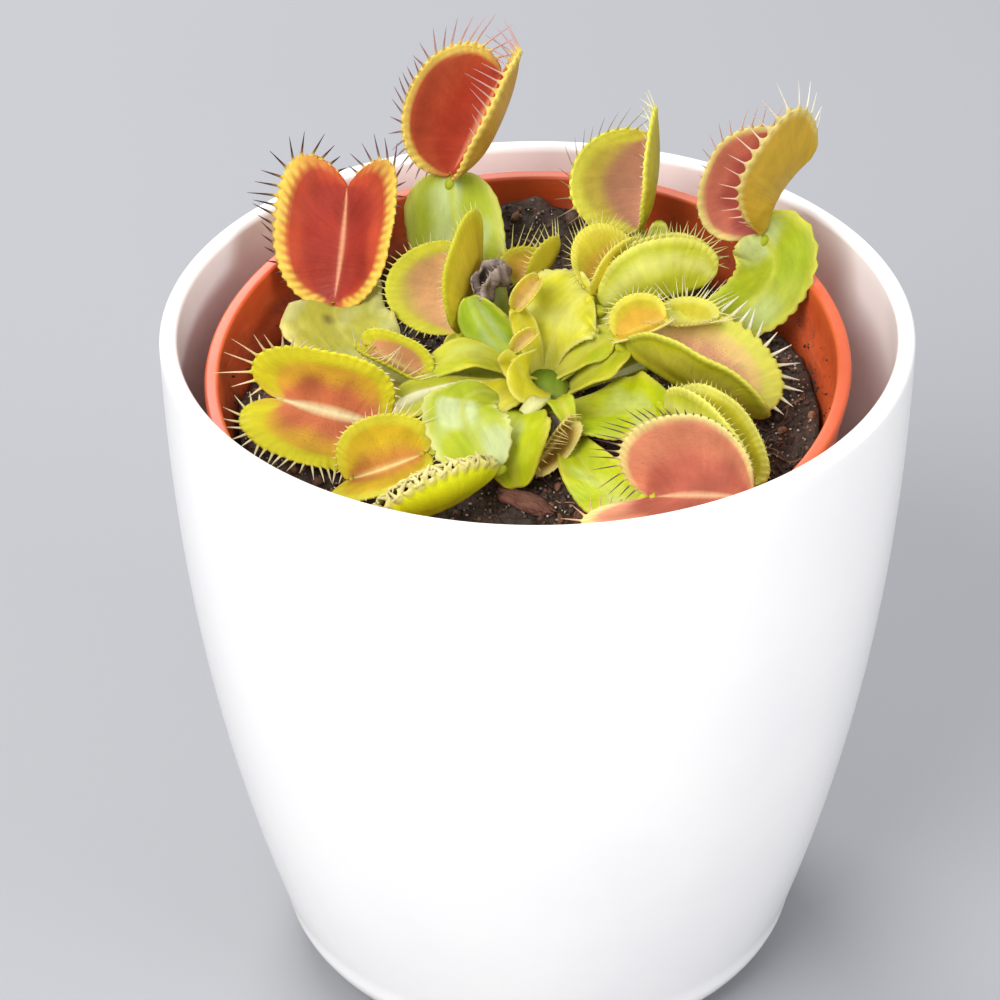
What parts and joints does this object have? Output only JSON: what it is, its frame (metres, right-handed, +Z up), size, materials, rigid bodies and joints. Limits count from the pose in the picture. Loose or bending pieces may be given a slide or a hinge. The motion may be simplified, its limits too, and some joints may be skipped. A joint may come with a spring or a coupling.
{
  "type": "potted venus flytrap",
  "caption": "House plant with toothed snap-trap leaves in a tapered nursery pot, standing askew in a white glazed cachepot.",
  "frame": {"origin": "middle of the cachepot's foot, on the surface it stands on", "axes": "+Z up, -Y towards the front, from where the plant is seen, +X to the right of that view"},
  "size_m": [0.105, 0.105, 0.1306],
  "materials": {
    "white_glaze": "gloss",
    "orange_plastic": "satin",
    "peat": "matte",
    "rhizome_flesh": "satin",
    "leaf_flesh": "satin",
    "dead_leaf": "matte",
    "bark": "matte"
  },
  "bodies": {
    "root": {"bark_chip": "bark", "cachepot": "white_glaze", "leaf_amber_small": "leaf_flesh", "leaf_bristle_right": "leaf_flesh", "leaf_bud_back": "leaf_flesh", "leaf_bud_middle": "leaf_flesh", "leaf_closed_front": "leaf_flesh", "leaf_cupped_front": "leaf_flesh", "leaf_dead_back": "dead_leaf", "leaf_folded_front": "leaf_flesh", "leaf_frosty_middle": "leaf_flesh", "leaf_gold_right": "leaf_flesh", "leaf_green_front": "leaf_flesh", "leaf_hanging_front": "leaf_flesh", "leaf_heart_middle": "leaf_flesh", "leaf_lime_small": "leaf_flesh", "leaf_lime_wide": "leaf_flesh", "leaf_mauve_back": "leaf_flesh", "leaf_orange_left": "leaf_flesh", "leaf_peach_left": "leaf_flesh", "leaf_red_tall": "leaf_flesh", "leaf_red_wide": "leaf_flesh", "leaf_salmon_front": "leaf_flesh", "leaf_salmon_left": "leaf_flesh", "leaf_striped_left": "leaf_flesh", "leaf_yellow_left": "leaf_flesh", "leaf_young_behind": "leaf_flesh", "leaf_young_right": "leaf_flesh", "nursery_pot": "orange_plastic", "rhizome": "rhizome_flesh", "soil": "peat", "stalk_dry": "dead_leaf", "stalk_pale": "leaf_flesh"}
  },
  "joints": []
}
